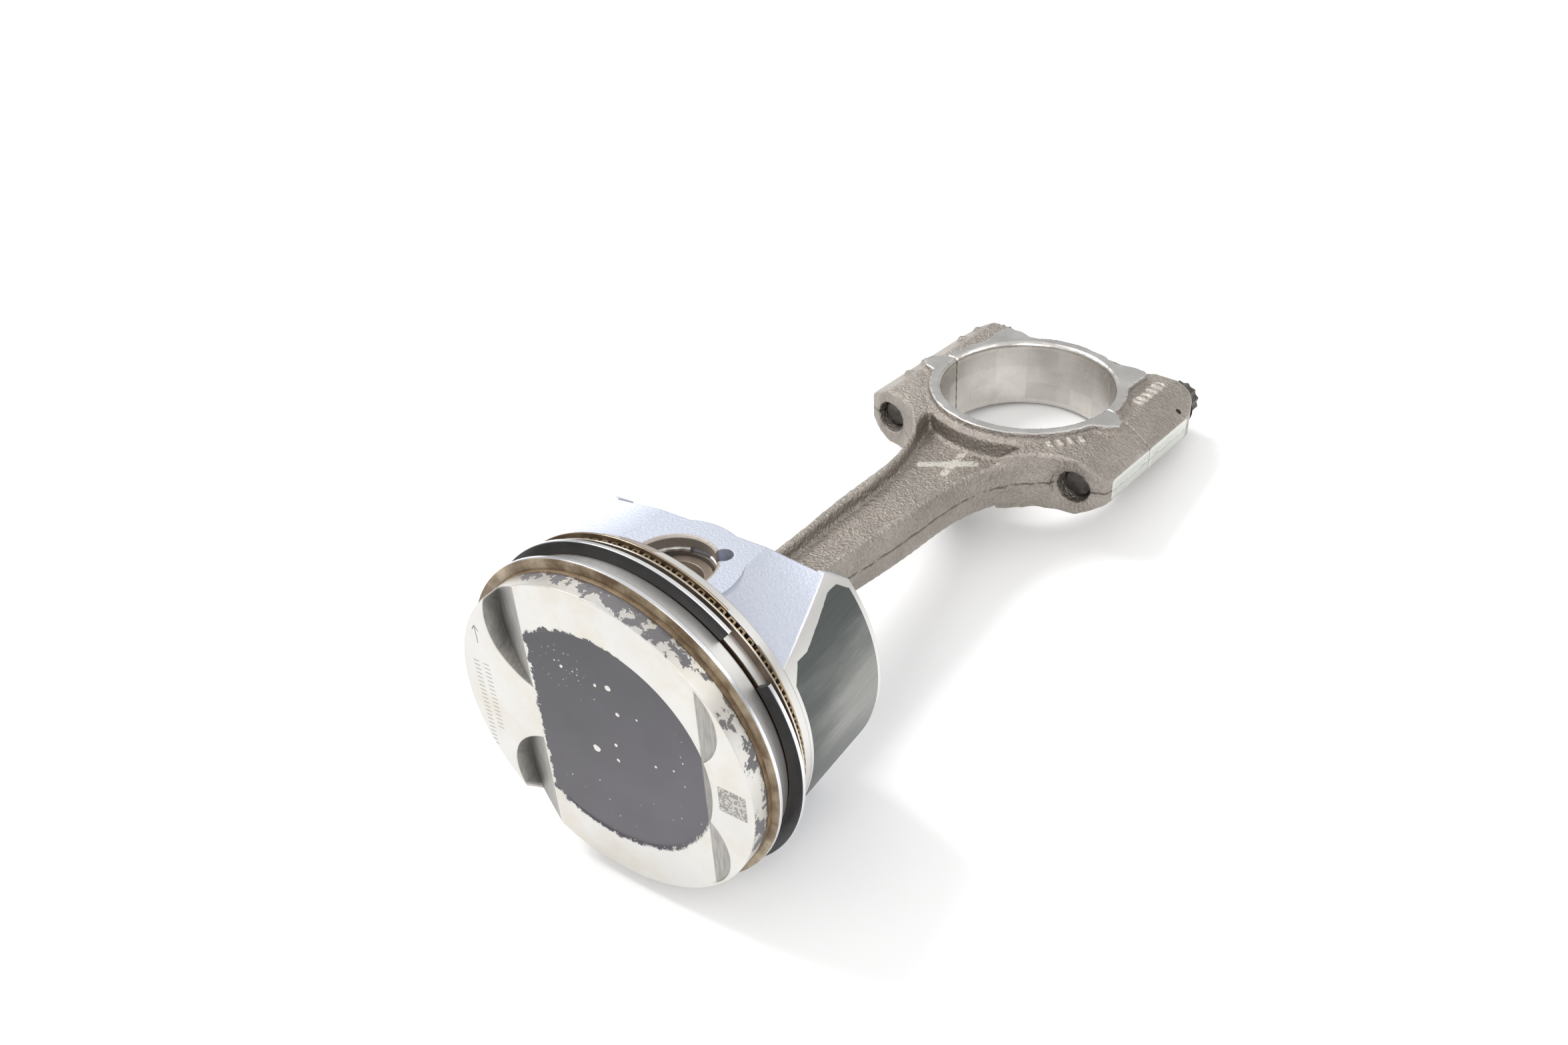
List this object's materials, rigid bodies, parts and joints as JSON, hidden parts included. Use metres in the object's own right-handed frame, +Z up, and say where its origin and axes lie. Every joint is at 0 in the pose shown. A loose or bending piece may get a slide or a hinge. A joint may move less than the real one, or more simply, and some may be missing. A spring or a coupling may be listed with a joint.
{
  "type": "piston with connecting rod",
  "caption": "Used engine piston with sprung rings, hollow wrist pin and I-beam connecting rod with a split, bolted big-end cap, lying on its side.",
  "frame": {"origin": "centre of the bounding box footprint, on the table the assembly lies on", "axes": "+Z up from the table, +X along the longest extent toward the big end, crown toward -X; the pin axis is nearly upright"},
  "size_m": [0.2182, 0.1064, 0.087],
  "materials": {
    "piston_alloy": "machined crown and belt, cast box walls, dark graphite coating on the skirts, carbon film on the crown",
    "carrier_iron": "machined, heat stained brown",
    "top_ring_steel": "brown lacquered sides, bright running face",
    "second_ring_iron": "black phosphated sides, bright running face",
    "rail_steel": "thin ground steel, oil stained",
    "expander_steel": "thin folded strip, tan oil stain",
    "pin_steel": "ground and polished, stained end faces",
    "clip_wire": "drawn spring wire",
    "bush_bronze": "bored bronze",
    "rod_steel": "shot-blasted forging with machined bore, thrust faces and side strips",
    "bolt_steel": "dark phosphated"
  },
  "bodies": {
    "piston": {"piston_body": "piston_alloy", "top_ring_carrier": "carrier_iron", "circlip_upper": "clip_wire", "circlip_lower": "clip_wire"},
    "top_ring": {"top_ring": "top_ring_steel"},
    "second_ring": {"second_ring": "second_ring_iron"},
    "upper_rail": {"oil_ring_upper_rail": "rail_steel"},
    "expander": {"oil_ring_expander": "expander_steel"},
    "lower_rail": {"oil_ring_lower_rail": "rail_steel"},
    "wrist_pin": {"wrist_pin": "pin_steel"},
    "rod": {"small_end_bush": "bush_bronze", "connecting_rod": "rod_steel", "rod_cap": "rod_steel", "rod_bolt_left": "bolt_steel", "rod_bolt_right": "bolt_steel"}
  },
  "joints": [
    {"name": "rod_swing", "type": "hinge", "parent": "piston", "child": "rod", "pos_m": [-0.07267, 0.01005, 0.03987], "axis": [0.1664, -0.0007, 0.9861], "range_deg": [-34, 50]},
    {"name": "pin_turn", "type": "hinge", "parent": "piston", "child": "wrist_pin", "pos_m": [-0.07267, 0.01005, 0.03987], "axis": [0.1664, -0.0007, 0.9861], "continuous": true},
    {"name": "top_ring_turn", "type": "hinge", "parent": "piston", "child": "top_ring", "pos_m": [-0.09565, 0.01016, 0.04426], "axis": [-0.9861, 0, 0.1664], "continuous": true},
    {"name": "second_ring_turn", "type": "hinge", "parent": "piston", "child": "second_ring", "pos_m": [-0.08969, 0.00906, 0.04346], "axis": [-0.9861, 0, 0.1664], "continuous": true},
    {"name": "upper_rail_turn", "type": "hinge", "parent": "piston", "child": "upper_rail", "pos_m": [-0.08653, 0.00966, 0.04262], "axis": [-0.9861, 0, 0.1664], "continuous": true},
    {"name": "lower_rail_turn", "type": "hinge", "parent": "piston", "child": "lower_rail", "pos_m": [-0.0839, 0.01086, 0.04228], "axis": [-0.9861, 0, 0.1664], "continuous": true},
    {"name": "expander_turn", "type": "hinge", "parent": "piston", "child": "expander", "pos_m": [-0.08529, 0.01005, 0.042], "axis": [-0.9861, 0, 0.1664], "continuous": true}
  ]
}
